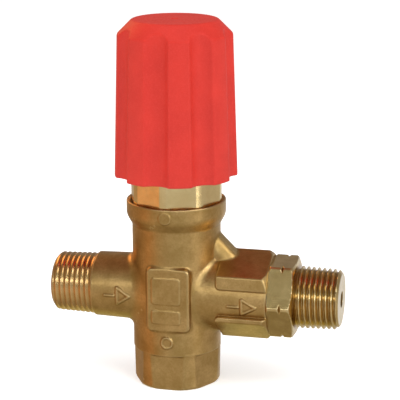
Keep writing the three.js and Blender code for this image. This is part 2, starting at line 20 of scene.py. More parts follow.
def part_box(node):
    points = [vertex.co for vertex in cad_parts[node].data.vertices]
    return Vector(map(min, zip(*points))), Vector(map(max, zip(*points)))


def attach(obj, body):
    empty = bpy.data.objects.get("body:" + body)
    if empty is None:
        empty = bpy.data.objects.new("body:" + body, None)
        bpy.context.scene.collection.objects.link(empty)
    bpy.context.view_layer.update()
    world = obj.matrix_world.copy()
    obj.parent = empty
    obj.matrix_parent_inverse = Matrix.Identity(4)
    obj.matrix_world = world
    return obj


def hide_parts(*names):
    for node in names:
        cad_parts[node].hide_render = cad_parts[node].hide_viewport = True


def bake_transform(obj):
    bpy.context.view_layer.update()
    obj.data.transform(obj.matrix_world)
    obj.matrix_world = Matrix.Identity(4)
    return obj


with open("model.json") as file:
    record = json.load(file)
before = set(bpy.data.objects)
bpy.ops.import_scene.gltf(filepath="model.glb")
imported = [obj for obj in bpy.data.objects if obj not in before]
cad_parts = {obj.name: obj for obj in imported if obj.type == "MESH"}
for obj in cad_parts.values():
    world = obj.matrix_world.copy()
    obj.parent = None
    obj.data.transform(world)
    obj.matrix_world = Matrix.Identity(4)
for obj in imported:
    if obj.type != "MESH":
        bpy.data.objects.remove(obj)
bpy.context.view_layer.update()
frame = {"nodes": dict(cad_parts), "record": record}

MM = 0.001

# ---- Places read from the frame ------------------------------------------------------------------

knob_low, knob_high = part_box("knob")
fitting_low, fitting_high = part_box("outlet_fitting")
AXIS_X = (knob_low.x + knob_high.x) / 2 / MM
BRANCH_Z = (fitting_low.z + fitting_high.z) / 2 / MM


def span(node, axis):
    """Lowest and highest place of a CAD node along "x", "y" or "z", in the valve's own frame."""
    low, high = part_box(node)
    shift = {"x": AXIS_X, "y": 0.0, "z": BRANCH_Z}[axis]
    return getattr(low, axis) / MM - shift, getattr(high, axis) / MM - shift


# ---- Sizes of the outside, in millimetres --------------------------------------------------------

COLUMN_R = 15.15
COLLAR_R = 17.0
COLLAR_TOP = span("valve_body", "z")[1]
COLUMN_TOP = COLLAR_TOP - 4         # inside the collar
COLLAR_EDGE = 27.4
COLLAR_BOTTOM = 24.0
MARK_X, MARK_Z, MARK_R = 0.2, 29.3, 2.1
MARK_PROUD = 0.12
RIM_BORE_R = 16.1
RIM_FLOOR = COLLAR_TOP - 0.4
FOOT_BOTTOM = span("valve_body", "z")[0]
FOOT_TOP = -20.0
FOOT_FLAT = 13.9
FOOT_CORNER_R = 14.85
FOOT_CHAMFER = 0.6
INLET_END = span("valve_body", "x")[0]
INLET_SHOULDER = INLET_END + 14.8
INLET_R = 11.2
INLET_DRAFT = 0.027
BARREL_R = 13.2
BRANCH_END = span("valve_body", "x")[1]
BRANCH_HEX_START = 16.5
BRANCH_HEX_FLAT = 13.5
BRANCH_HEX_LEAN = math.radians(6.3)
BRANCH_BAND = 4.7                   # half height of the band relieved across the front and back flats
BRANCH_END_R = 14.0
WEB_LINE = 29.3
WEB_R = 5.0
WEB_HALF_LENGTH = 11

# ---- Placing and making mesh pieces --------------------------------------------------------------


def place(points):
    """Points in the valve's own millimetres, as metres in the frame."""
    return (np.asarray(points, float) + (AXIS_X, 0.0, BRANCH_Z)) * MM


CREASE = 35


def mesh_piece(name, points, faces, crease=None):
    """A smooth-shaded mesh object. `crease` is the angle in degrees above which an edge stays sharp."""
    mesh = bpy.data.meshes.new(name)
    mesh.from_pydata(place(points).tolist(), [], [list(map(int, f)) for f in faces])
    mesh.validate()
    mesh.update()
    mesh.shade_smooth()
    if crease is not None:
        mesh.set_sharp_from_angle(angle=math.radians(crease))
    piece = bpy.data.objects.new(name, mesh)
    bpy.context.scene.collection.objects.link(piece)
    return piece


def dress(piece, body, material, slot, *nodes):
    """Gives a piece its material, attaches it to its body if it rides on just one, and hides the CAD nodes
    that it stands for.
    """
    piece.data.materials.clear()
    piece.data.materials.append(material)
    if body is not None:
        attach(piece, body)
    if nodes:
        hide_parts(*nodes)
    return piece


# ---- Distance fields -----------------------------------------------------------------------------
# A field is negative inside. Each takes and returns arrays, and is close to true distance near its
# surface, so that fillets and roundings have the radius they name.


def rounded_common(a, b, radius):
    """Where both solids are, with the edge between them rounded."""
    return np.minimum(-radius, np.maximum(a, b)) + np.hypot(
        np.maximum(a + radius, 0), np.maximum(b + radius, 0)
    )


def filleted_union(a, b, radius):
    """Where either solid is, with a fillet in the corner between them."""
    return -rounded_common(-a, -b, radius)


def rounded_cut(a, b, radius):
    """The first solid without the second, with the edge between them rounded."""
    return rounded_common(a, -b, radius)


def between(value, low, high):
    """A slab from low to high."""
    return np.maximum(low - value, value - high)


def cylinder(across, radius, along, low, high, edge):
    """A cylinder of given radius, where `across` is the distance from its axis."""
    return rounded_common(across - radius, between(along, low, high), edge)


def soft_step(distance, ramp):
    """1 well inside an outline and 0 outside, with a smooth ramp that many millimetres wide."""
    t = np.clip(0.5 - distance / ramp, 0, 1)
    return t * t * (3 - 2 * t)


def rounded_rectangle(u, v, half_u, half_v, corner):
    """Distance to a rectangle with rounded corners, centred on u = v = 0."""
    du = np.abs(u) - half_u + corner
    dv = np.abs(v) - half_v + corner
    return np.hypot(np.maximum(du, 0), np.maximum(dv, 0)) + np.minimum(np.maximum(du, dv), 0) - corner


def segment(u, v, start, end):
    """Distance to a straight line between two points of the plane."""
    start, end = np.array(start), np.array(end)
    run = end - start
    t = np.clip(((u - start[0]) * run[0] + (v - start[1]) * run[1]) / (run @ run), 0, 1)
    return np.hypot(u - start[0] - t * run[0], v - start[1] - t * run[1])


# ---- Relief on the forging -----------------------------------------------------------------------

RELIEF = 0.4
RELIEF_RAMP = 0.45
LINE = 0.42


def arrow_relief(u, v, centre, length, half_height):
    """A plain flow arrow: a triangle's outline with a short bar behind it, pointing along +u."""
    tip = (centre[0] + length / 2, centre[1])
    corners = [(centre[0], centre[1] + half_height), (centre[0], centre[1] - half_height)]
    bar_end = (centre[0] - length / 2, centre[1])
    lines = [
        segment(u, v, corners[0], tip),
        segment(u, v, corners[1], tip),
        segment(u, v, corners[0], corners[1]),
        segment(u, v, bar_end, (centre[0] - ARROW_GAP, centre[1])),
    ]
    return RELIEF * soft_step(np.minimum.reduce(lines) - LINE, RELIEF_RAMP)


# Middle, length and half height of the two flow arrows
INLET_ARROW = ((-18.5, -0.5), 8.8, 2.9)
OUTLET_ARROW = ((25.5, -0.85), 9.4, 2.6)
ARROW_GAP = 1.2                     # between an arrow's triangle and its bar

PAD_X, PAD_Z = 0.6, 0.4
PAD_HALF_WIDTH, PAD_HALF_HEIGHT, PAD_CORNER = 7.5, 11.2, 2.0
PAD_FRONT = 15.55
PLATE_X, PLATE_HALF_WIDTH, PLATE_RELIEF = 0.0, 5.0, 0.25
# Height of the middle, half height and corner radius of the pad's two plates
PLATES = [(PAD_Z + 3.2, 4.7, 1.2), (PAD_Z - 6.0, 2.4, 1.0)]

BOSS_X, BOSS_Z, BOSS_R = 0.1, -14.9, 1.9
BOSS_RIM_HALF_WIDTH = 0.28
BOSS_RIM_RELIEF, BOSS_RELIEF = 0.35, 0.18


def pad_relief(x, z):
    """Plain raised plates on the pad."""
    plates = [
        rounded_rectangle(x - PLATE_X, z - middle, PLATE_HALF_WIDTH, half_height, corner)
        for middle, half_height, corner in PLATES
    ]
    return PLATE_RELIEF * soft_step(np.minimum.reduce(plates), RELIEF_RAMP)


def boss_relief(x, z):
    """The plain round boss below the pad, with a raised rim."""
    outline = np.hypot(x - BOSS_X, z - BOSS_Z) - BOSS_R
    rim = np.abs(outline) - BOSS_RIM_HALF_WIDTH
    return BOSS_RIM_RELIEF * soft_step(rim, RELIEF_RAMP) + BOSS_RELIEF * soft_step(outline, RELIEF_RAMP)


# ---- The forging ---------------------------------------------------------------------------------


def hexagon(front, side, half):
    """A hexagonal prism with flats at the front and back and slightly rounded edges."""
    slope = math.sqrt(3) / 2
    flats = [np.abs(front / 2 + side * k) - half for k in (-slope, slope)]
    return rounded_common(rounded_common(np.abs(front) - half, flats[0], 0.5), flats[1], 0.5)


def column_field(x, y, z):
    across = np.hypot(x, y)
    relief = np.where(y < 0, boss_relief(x, z), 0.0)
    column = cylinder(across - relief, COLUMN_R, z, FOOT_TOP, COLUMN_TOP, 0.3)
    rise, run = COLLAR_EDGE - COLLAR_BOTTOM, COLLAR_R - COLUMN_R
    underside = ((across - COLLAR_R) * rise - (z - COLLAR_EDGE) * run) / math.hypot(rise, run)
    collar = rounded_common(across - COLLAR_R, z - COLLAR_TOP, 0.4)
    collar = rounded_common(collar, underside, 0.5)
    collar = filleted_union(collar, collar_mark_field(x, y, z), 0.15)
    return filleted_union(column, collar, 0.15)


def collar_mark_field(x, y, z):
    """The plain round flat on the collar's front."""
    outline = np.hypot(x - MARK_X, z - MARK_Z) - MARK_R
    return rounded_common(outline, np.maximum(-y - COLLAR_R - MARK_PROUD, y), 0.15)


def foot_field(x, y, z):
    across, height = np.hypot(x, y), z - FOOT_BOTTOM
    narrowing = (COLUMN_R - FOOT_CORNER_R) / (FOOT_TOP - FOOT_BOTTOM)
    corners = across - FOOT_CORNER_R - height * narrowing
    chamfer = (across - FOOT_CORNER_R + FOOT_CHAMFER - height) / math.sqrt(2)
    prism = rounded_common(hexagon(y, x, FOOT_FLAT), corners, 0.15)
    prism = rounded_common(prism, between(z, FOOT_BOTTOM, FOOT_TOP + 0.8), 0.25)
    return rounded_common(prism, chamfer, 0.25)


def inlet_field(x, y, z):
    across = np.hypot(y, z)
    radius = INLET_R + (x - INLET_SHOULDER) * INLET_DRAFT
    relief = np.where(y < 0, arrow_relief(x, z, *INLET_ARROW), 0.0)
    return cylinder(across - relief, radius, x, INLET_SHOULDER, 0, 0.25)


def outlet_field(x, y, z):
    across = np.hypot(y, z)
    relief = np.where(y < 0, arrow_relief(x, z, *OUTLET_ARROW), 0.0)
    barrel = cylinder(across - relief, BARREL_R, x, 0, BRANCH_END, 0.5)
    lean, rise = math.cos(BRANCH_HEX_LEAN), math.sin(BRANCH_HEX_LEAN)
    prism = hexagon(y * lean - z * rise, y * rise + z * lean, BRANCH_HEX_FLAT)
    turned_end = (across - BRANCH_END_R + x - BRANCH_END) / math.sqrt(2)
    prism = rounded_common(rounded_common(prism, x - BRANCH_END, 0.3), turned_end, 0.2)
    ribs = rounded_common(BRANCH_HEX_START - x, BRANCH_BAND - np.abs(z), 1.4)
    prism = rounded_common(prism, ribs, 0.35)
    return filleted_union(barrel, prism, 0.35)


def web_field(x, y, z):
    along = (z - x) / math.sqrt(2)
    off_line = (x + z - WEB_LINE) / math.sqrt(2)
    return cylinder(np.hypot(off_line, y), WEB_R, along, -WEB_HALF_LENGTH, WEB_HALF_LENGTH, 1)


def pad_field(x, y, z):
    outline = rounded_rectangle(x - PAD_X, z - PAD_Z, PAD_HALF_WIDTH, PAD_HALF_HEIGHT, PAD_CORNER)
    face = np.maximum(-y - PAD_FRONT - pad_relief(x, z), y)
    return rounded_common(outline, face, 0.8)


BYPASS_PORT_R, BYPASS_PORT_TOP = 7.6, FOOT_BOTTOM + 12
BYPASS_PASSAGE_R = 5.5
SEAT_POCKET_R, SEAT_POCKET_BOTTOM = 7.5, -14
CHAMBER_R, CHAMBER_BOTTOM = 8.0, -9
GUIDE_BORE_R, GUIDE_SHOULDER = 9.0, 8
GUIDE_BORE_TOP = 16                 # laps a little into the bonnet's bore
BONNET_BORE_R, BONNET_BORE_BOTTOM = 12.0, 15.6
INLET_BORE_R = 6.0
CHECK_PASSAGE_R, CHECK_SEAT_X = 4.5, 12
CHECK_CHAMBER_R = 8.0
FITTING_BORE_R, FITTING_BORE_X = 10.0, 24
LAP = 1                             # how far a bore runs into the next, so that no skin is left


def bores_field(x, y, z):
    """The passages up the column and along the branches. A step is (radius, from, to)."""
    across, branch_across = np.hypot(x, y), np.hypot(y, z)
    column_steps = [
        (BYPASS_PORT_R, FOOT_BOTTOM - 2, BYPASS_PORT_TOP),
        (BYPASS_PASSAGE_R, FOOT_BOTTOM, SEAT_POCKET_BOTTOM + LAP),
        (SEAT_POCKET_R, SEAT_POCKET_BOTTOM, CHAMBER_BOTTOM + LAP),
        (CHAMBER_R, CHAMBER_BOTTOM, GUIDE_SHOULDER + LAP),
        (GUIDE_BORE_R, GUIDE_SHOULDER, GUIDE_BORE_TOP),
        (BONNET_BORE_R, BONNET_BORE_BOTTOM, COLLAR_TOP),
        (RIM_BORE_R, RIM_FLOOR, COLLAR_TOP + 2),
    ]
    branch_steps = [
        (INLET_BORE_R, INLET_END - 2, 0),
        (CHECK_PASSAGE_R, 0, CHECK_SEAT_X + LAP),
        (CHECK_CHAMBER_R, CHECK_SEAT_X, FITTING_BORE_X + LAP),
        (FITTING_BORE_R, FITTING_BORE_X, BRANCH_END + 2),
    ]
    steps = [np.maximum(across - r, between(z, low, high)) for r, low, high in column_steps]
    steps += [np.maximum(branch_across - r, between(x, low, high)) for r, low, high in branch_steps]
    rim_chamfer = (across - RIM_BORE_R - 0.3 + COLLAR_TOP - z) / math.sqrt(2)
    return np.minimum.reduce([*steps, rim_chamfer])


# What joins the column, and the fillet where it does
FORGING_PARTS = [
    (foot_field, 0.3),
    (inlet_field, 2.2),
    (outlet_field, 1.6),
    (web_field, 0.5),
    (pad_field, 0.9),
]
BORE_EDGE = 0.25


def forging_field(x, y, z):
    solid = column_field(x, y, z)
    for part_field, fillet in FORGING_PARTS:
        solid = filleted_union(solid, part_field(x, y, z), fillet)
    return rounded_cut(solid, bores_field(x, y, z), BORE_EDGE)


# ---- Meshing a field -----------------------------------------------------------------------------


def grid_field(field, low, high, step):
    """The field's values on a grid, worked out slab by slab to save memory."""
    axes = [np.arange(a, b + step, step) for a, b in zip(low, high)]
    values = np.empty([len(a) for a in axes], np.float32)
    y, z = np.meshgrid(axes[1], axes[2], indexing="ij")
    for i, x in enumerate(axes[0]):
        values[i] = field(np.full_like(y, x), y, z)
    return values


def surface_net(values, low, step):
    """Quads round the zero surface of a grid: one vertex in each cell that the surface crosses."""
    inside = values < 0
    shape = np.array(values.shape) - 1
    corner_count = np.zeros(shape, np.int8)
    for dx in (0, 1):
        for dy in (0, 1):
            for dz in (0, 1):
                corner_count += inside[dx:dx + shape[0], dy:dy + shape[1], dz:dz + shape[2]]
    cells = np.argwhere((corner_count > 0) & (corner_count < 8))
    number = np.full(shape, -1, np.int64)
    number[tuple(cells.T)] = np.arange(len(cells))
    total = np.zeros((len(cells), 3))
    count = np.zeros(len(cells))
    faces = []
    for axis in range(3):
        one, two = [a for a in range(3) if a != axis]
        unit = np.eye(3, dtype=int)
        for a in (0, 1):
            for b in (0, 1):
                start = cells + a * unit[one] + b * unit[two]
                end = start + unit[axis]
                v0, v1 = values[tuple(start.T)], values[tuple(end.T)]
                crossed = (v0 < 0) != (v1 < 0)
                share = np.where(crossed, v0 / np.where(crossed, v0 - v1, 1), 0)
                point = start + share[:, None] * unit[axis]
                total += point * crossed[:, None]
                count += crossed
        first = [slice(None)] * 3
        first[axis] = slice(0, -1)
        last = [slice(None)] * 3
        last[axis] = slice(1, None)
        starts_inside, ends_inside = inside[tuple(first)], inside[tuple(last)]
        edges = np.argwhere(starts_inside != ends_inside)
        flip = ~starts_inside[tuple(edges.T)]
        if axis == 1:
            flip = ~flip
        quad = np.stack([
            number[tuple((edges - a * unit[one] - b * unit[two]).T)]
            for a, b in ((0, 0), (1, 0), (1, 1), (0, 1))
        ], 1)
        quad[flip] = quad[flip][:, ::-1]
        faces.append(quad)
    points = np.array(low) + total / count[:, None] * step
    return points, np.concatenate(faces)


def pull_to_surface(field, start, limit, rounds=4, reach=0.02):
    """Moves points along the field's slope until they lie on its zero surface, no further than a limit."""
    points = start
    for _ in range(rounds):
        value = field(*points.T)
        slope = np.stack([
            field(*(points + reach * axis).T) - field(*(points - reach * axis).T)
            for axis in np.eye(3)
        ], 1) / (2 * reach)
        length2 = np.maximum((slope ** 2).sum(1), 0.2)
        points = points - slope * np.clip(value / length2, -0.3, 0.3)[:, None]
    distance = np.linalg.norm(points - start, axis=1)
    return start + (points - start) * np.minimum(1, limit / np.maximum(distance, 1e-9))[:, None]


def field_piece(name, field, low, high, step):
    """A mesh object of a field's surface, found on a grid of that step."""
    values = grid_field(field, low, high, step)
    points, faces = surface_net(values, low, step)
    return mesh_piece(name, pull_to_surface(field, points, step / 2), faces)


# ---- Turned pieces -------------------------------------------------------------------------------


def angles(around):
    """Evenly spaced angles, starting at the front and turning towards +X or, along X, towards +Z."""
    return np.arange(around) * 2 * math.pi / around


def ring_stack(name, stations, along="z", around=120):
    """A closed band of rings. A station is (place along the axis, radius), and the radius is a number or
    an array over the angles."""
    angle = angles(around)
    rings = []
    for height, radius in stations:
        radius = np.broadcast_to(radius, around)
        side, front = radius * np.sin(angle), -radius * np.cos(angle)
        height = np.broadcast_to(height, around)
        rings.append(np.stack([side, front, height] if along == "z" else [height, front, side], 1))
    rows = len(rings)
    index = np.arange(rows * around).reshape(rows, around)
    after = np.roll(index, -1, 0)
    quads = np.stack([index, np.roll(index, -1, 1), np.roll(after, -1, 1), after], -1).reshape(-1, 4)
    if along == "x":
        quads = quads[:, ::-1]
    return mesh_piece(name, np.concatenate(rings), quads, CREASE)


def polygon_radius(sides, flat, first_flat, around, edge=0.25):
    """Radius of a regular polygon at each angle, its corners rounded a little."""
    pitch = 2 * math.pi / sides
    off = (angles(around) - math.radians(first_flat) + pitch / 2) % pitch - pitch / 2
    sharp = flat / np.cos(off)
    corner = flat / math.cos(pitch / 2)
    return np.minimum(sharp, corner - edge * np.exp(-((np.abs(off) - pitch / 2) / 0.03) ** 2))


PITCH = 25.4 / 14                   # of the pipe threads on both branches
PIPE_R = 10.22                      # their outside radius at the small end
PIPE_TAPER = 1 / 32                 # growth of the radius along the thread
PIPE_FACE_R = 8.9                   # their end face, inside the chamfer
PIPE_CHAMFER_SLOPE = 1.15
STATIONS_PER_PITCH = 14
CREST, ROOT = 0.16, 0.84            # shares of half a pitch where the flat crest ends and the root starts
OUTLET_THREAD_DEPTH = 1.05
INLET_THREAD_DEPTH = 0.35


def pipe_thread(end, inward, length, around, depth):
    """Stations of a right-handed taper thread along X, from its chamfered end face inwards."""
    stations = [(end, PIPE_FACE_R)]
    for from_end in np.arange(0.0, length, PITCH / STATIONS_PER_PITCH):
        x = end + inward * from_end
        phase = (x / PITCH + angles(around) / (2 * math.pi)) % 1.0
        share = (np.clip(np.abs(phase - 0.5) * 2, CREST, ROOT) - CREST) / (ROOT - CREST)
        thread = PIPE_R + from_end * PIPE_TAPER - depth * share
        stations.append((x, np.minimum(PIPE_FACE_R + from_end * PIPE_CHAMFER_SLOPE, thread)))
    return stations


# ---- Materials -----------------------------------------------------------------------------------


class Nodes:
    """A node tree under construction, with shorthands for the nodes used here."""

    def __init__(self, tree):
        self.tree = tree

    def node(self, kind, **settings):
        made = self.tree.nodes.new(kind)
        for key, value in settings.items():
            setattr(made, key, value)
        return made

    def join(self, source, target):
        self.tree.links.new(source, target)

    def ramp(self, value, low, high, out_low, out_high):
        """A number mapped in a straight line, and held at both ends."""
        made = self.node("ShaderNodeMapRange")
        for key, number in zip(("From Min", "From Max", "To Min", "To Max"), (low, high, out_low, out_high)):
            made.inputs[key].default_value = number
        self.join(value, made.inputs["Value"])
        return made.outputs["Result"]

    def times(self, first, second):
        made = self.node("ShaderNodeMath", operation="MULTIPLY")
        self.join(first, made.inputs[0])
        self.join(second, made.inputs[1])
        return made.outputs["Value"]

    def window(self, value, low, high, soft):
        """1 where a number lies between low and high, and 0 outside, with soft ends."""
        return self.times(self.ramp(value, low - soft, low, 0, 1), self.ramp(value, high, high + soft, 1, 0))

    def colours(self, value, stops):
        """A colour ramp from (place, colour) stops, the first at 0 and the last at 1."""
        made = self.node("ShaderNodeValToRGB")
        self.join(value, made.inputs[0])
        elements = made.color_ramp.elements
        elements[0].color, elements[1].color = (*stops[0][1], 1), (*stops[-1][1], 1)
        for position, colour in stops[1:-1]:
            elements.new(position).color = (*colour, 1)
        return made.outputs["Color"]

    def mix(self, factor, first, second, blend="MIX"):
        """A colour mix. Each colour is a socket or three numbers."""
        made = self.node("ShaderNodeMix", data_type="RGBA", blend_type=blend)
        sockets = [made.inputs["Factor"], *[s for s in made.inputs if s.type == "RGBA"]]
        for socket, value in zip(sockets, (factor, first, second)):
            if isinstance(value, bpy.types.NodeSocket):
                self.join(value, socket)
            elif isinstance(value, (tuple, list)):
                socket.default_value = (*value, 1)
            else:
                socket.default_value = value
        return [s for s in made.outputs if s.type == "RGBA"][0]


class Shader(Nodes):
    """A material under construction: a Principled surface with named inputs."""

    def __init__(self, name):
        self.material = bpy.data.materials.new(name)
        self.material.use_nodes = True
        super().__init__(self.material.node_tree)
        self.surface = self.tree.nodes["Principled BSDF"]
        self.place = self.node("ShaderNodeTexCoord").outputs["Object"]

    def noise(self, size_mm, detail=3.0, roughness=0.55):
        """A noise whose features are about that many millimetres wide."""
        made = self.node("ShaderNodeTexNoise")
        made.inputs["Scale"].default_value = 1 / (size_mm * MM)
        made.inputs["Detail"].default_value = detail
        made.inputs["Roughness"].default_value = roughness
        self.join(self.place, made.inputs["Vector"])
        return made.outputs["Fac"]

    def rings(self, axis, period_mm):
        """Fine tool marks: rings at right angles to the axis."""
        made = self.node("ShaderNodeTexWave", wave_type="BANDS", bands_direction=axis)
        made.inputs["Scale"].default_value = 2 * math.pi / 20 / (period_mm * MM)
        made.inputs["Distortion"].default_value = 1.5
        made.inputs["Detail"].default_value = 2
        self.join(self.place, made.inputs["Vector"])
        return made.outputs["Fac"]

    def bump(self, height, depth_mm, strength=1.0, below=None):
        made = self.node("ShaderNodeBump")
        made.inputs["Strength"].default_value = strength
        made.inputs["Distance"].default_value = depth_mm * MM
        self.join(height, made.inputs["Height"])
        if below is not None:
            self.join(below, made.inputs["Normal"])
        return made.outputs["Normal"]

    def finish(self, colour, roughness, normal, **numbers):
        for key, socket in (("Base Color", colour), ("Roughness", roughness), ("Normal", normal)):
            if isinstance(socket, bpy.types.NodeSocket):
                self.join(socket, self.surface.inputs[key])
            elif isinstance(socket, tuple):
                self.surface.inputs[key].default_value = (*socket, 1)
            elif socket is not None:
                self.surface.inputs[key].default_value = socket
        for key, value in numbers.items():
            self.surface.inputs[key.replace("_", " ")].default_value = value
        return self.material


def edge_shade_and_highlight(shader, colour, hollow_shade, edge):
    """Darkens hollows and brightens edges: painted shade in the hollows and a painted highlight on the
    edges.
    """
    pointed = shader.node("ShaderNodeNewGeometry").outputs["Pointiness"]
    hollow_shade_mask = shader.ramp(pointed, 0.495, 0.46, 0.0, 0.6)
    edge_highlight_mask = shader.ramp(pointed, 0.505, 0.55, 0.0, 0.6)
    # mixes in the painted shade colour where hollow and the painted highlight colour (edge) where pointed
    return shader.mix(edge_highlight_mask, shader.mix(hollow_shade_mask, colour, hollow_shade), edge)


def forged_brass():
    shader = Shader("forged_brass")
    patches = shader.ramp(shader.noise(6), 0.35, 0.65, 0, 1)
    mottled = shader.mix(patches, (0.47, 0.31, 0.11), (0.63, 0.43, 0.18))
    specks = shader.ramp(shader.noise(0.7, 4), 0.4, 0.7, 0, 0.45)
    speckled = shader.mix(specks, mottled, (0.41, 0.24, 0.08))
    # painted shade in the forging's hollows and a painted highlight on its edges
    colour = edge_shade_and_highlight(shader, speckled, (0.27, 0.14, 0.045), (0.74, 0.58, 0.30))
    roughness = shader.ramp(shader.noise(0.9), 0.3, 0.7, 0.32, 0.44)
    coarse = shader.bump(shader.noise(1.8, 2), 0.07, 0.7)
    normal = shader.bump(shader.noise(0.45, 2), 0.035, 0.7, coarse)
    return shader.finish(colour, roughness, normal, Metallic=1.0)


def turned_brass(name, axis, darker, lighter):
    shader = Shader(name)
    base = shader.mix(shader.ramp(shader.noise(5), 0.35, 0.65, 0, 1), darker, lighter)
    # painted shade in the turned brass's hollows and a painted highlight on its edges
    colour = edge_shade_and_highlight(shader, base, (0.33, 0.19, 0.07), (0.82, 0.69, 0.42))
    roughness = shader.ramp(shader.noise(1.5), 0.3, 0.7, 0.17, 0.27)
    marks = shader.bump(shader.rings(axis, 0.35), 0.006, 0.5)
    normal = shader.bump(shader.noise(0.45, 2), 0.025, 0.7, marks)
    return shader.finish(colour, roughness, normal, Metallic=1.0)


def red_plastic():
    shader = Shader("red_plastic")
    patches = shader.ramp(shader.noise(9), 0.3, 0.7, 0, 1)
    base = shader.mix(patches, (0.46, 0.018, 0.010), (0.52, 0.023, 0.013))
    specks = shader.ramp(shader.noise(0.5), 0.45, 0.75, 0, 0.35)
    colour = shader.mix(specks, base, (0.58, 0.045, 0.035))
    roughness = shader.ramp(shader.noise(0.8), 0.3, 0.7, 0.42, 0.56)
    coarse = shader.bump(shader.noise(1.3, 1), 0.03, 0.5)
    normal = shader.bump(shader.noise(0.5, 2), 0.025, 0.6, coarse)
    return shader.finish(colour, roughness, normal, Specular_IOR_Level=0.35)


def black_rubber():
    shader = Shader("black_rubber")
    colour = shader.mix(shader.noise(1.0), (0.012, 0.012, 0.013), (0.03, 0.03, 0.031))
    normal = shader.bump(shader.noise(0.3), 0.01, 0.5)
    return shader.finish(colour, shader.ramp(shader.noise(0.8), 0.3, 0.7, 0.5, 0.7), normal)


def white_plastic():
    shader = Shader("white_plastic")
    colour = shader.mix(shader.noise(2.0), (0.74, 0.73, 0.69), (0.82, 0.81, 0.78))
    return shader.finish(colour, 0.5, shader.bump(shader.noise(0.4), 0.01, 0.4))


def stainless_steel():
    shader = Shader("stainless_steel")
    colour = shader.mix(shader.noise(2.5), (0.50, 0.51, 0.53), (0.60, 0.61, 0.62))
    marks = shader.bump(shader.rings("Z", 0.3), 0.005, 0.5)
    return shader.finish(colour, shader.ramp(shader.noise(1.2), 0.3, 0.7, 0.2, 0.3), marks, Metallic=1.0)


def spring_steel():
    shader = Shader("spring_steel")
    colour = shader.mix(shader.noise(1.5), (0.30, 0.31, 0.33), (0.44, 0.45, 0.47))
    normal = shader.bump(shader.noise(0.4), 0.01, 0.5)
    return shader.finish(colour, shader.ramp(shader.noise(0.9), 0.3, 0.7, 0.28, 0.42), normal, Metallic=1.0)


SLOTS = {
    "forged_brass": forged_brass(),
    "turned_brass": turned_brass("turned_brass", "Z", (0.76, 0.59, 0.29), (0.86, 0.70, 0.37)),
    "red_plastic": red_plastic(),
    "black_rubber": black_rubber(),
    "white_plastic": white_plastic(),
    "stainless_steel": stainless_steel(),
    "spring_steel": spring_steel(),
}
FITTING_BRASS = turned_brass("fitting_brass", "X", (0.62, 0.46, 0.20), (0.74, 0.57, 0.27))
INLET_BRASS = turned_brass("inlet_brass", "X", (0.57, 0.35, 0.135), (0.69, 0.45, 0.19))

# ---- CAD nodes that stay: better materials -------------------------------------------------------

for subpart in frame["record"]["subparts"]:
    node = frame["nodes"][subpart["node"]]
    node.data.materials.clear()
    node.data.materials.append(SLOTS[subpart["material_slot"]])

# ---- The valve's outside pieces ------------------------------------------------------------------


FORGING_REACH = 18                  # half depth of the grid round the forging
FORGING_STEP = 0.3


def make_forging():
    low = (INLET_SHOULDER - 1.5, -FORGING_REACH, FOOT_BOTTOM - 1)
    high = (BRANCH_END + 1, FORGING_REACH, COLLAR_TOP + 1)
    piece = field_piece("body_forging", forging_field, low, high, FORGING_STEP)
    dress(piece, "housing", SLOTS["forged_brass"], "forged_brass", "valve_body")


def make_inlet_thread():
    around = 144
    length = INLET_SHOULDER - INLET_END + 0.1
    shoulder = INLET_SHOULDER + 0.2
    stations = pipe_thread(INLET_END, 1, length, around, INLET_THREAD_DEPTH)
    stations += [
        (shoulder, 9.2),
        (shoulder, INLET_BORE_R),
        (INLET_END + 0.5, INLET_BORE_R),
        (INLET_END, INLET_BORE_R + 0.5),
    ]
    piece = ring_stack("inlet_thread", stations, "x", around)
    dress(piece, "housing", INLET_BRASS, "turned_brass")


FITTING_NOSE, FITTING_END = span("outlet_fitting", "x")
FITTING_FLAT = 12.5
FITTING_FIRST_FLAT = 27.5           # degrees from the front
FITTING_HEX_START, FITTING_HEX_END = BRANCH_END + 0.1, 42.4
FITTING_GROOVE_X, FITTING_GROOVE_DEPTH, FITTING_GROOVE_HALF_WIDTH = 38.4, 0.95, 0.75
SPIGOT_R = 9.7
SPIGOT_RING_FROM, SPIGOT_RING_TO, SPIGOT_RING_R = 31, 33.4, 8
NECK_R = 9.6
NOZZLE_R, NOZZLE_START = 2.7, 30
STEM_POCKET_R = 4.2
SPRING_POCKET_R, SPRING_POCKET_DEPTH = 6.2, 2


def fitting_hexagon(around):
    """Stations of the fitting's hexagon, its corners turned down at both ends and in a groove."""
    corner = FITTING_FLAT / math.cos(math.pi / 6)
    outline = [
        (FITTING_HEX_START, corner - 0.7),
        (FITTING_HEX_START + 0.5, corner),
        (FITTING_GROOVE_X - FITTING_GROOVE_HALF_WIDTH, corner),
        (FITTING_GROOVE_X, corner - FITTING_GROOVE_DEPTH),
        (FITTING_GROOVE_X + FITTING_GROOVE_HALF_WIDTH, corner),
        (FITTING_HEX_END - 1.3, corner),
        (FITTING_HEX_END - 0.6, corner - 0.7),
        (FITTING_HEX_END, FITTING_FLAT - 0.5),
    ]
    xs, limits = zip(*outline)
    flats = polygon_radius(6, FITTING_FLAT, FITTING_FIRST_FLAT, around)
    return [
        (x, np.minimum(flats, np.interp(x, xs, limits)))
        for x in np.arange(FITTING_HEX_START, FITTING_HEX_END + 0.01, 0.15)
    ]


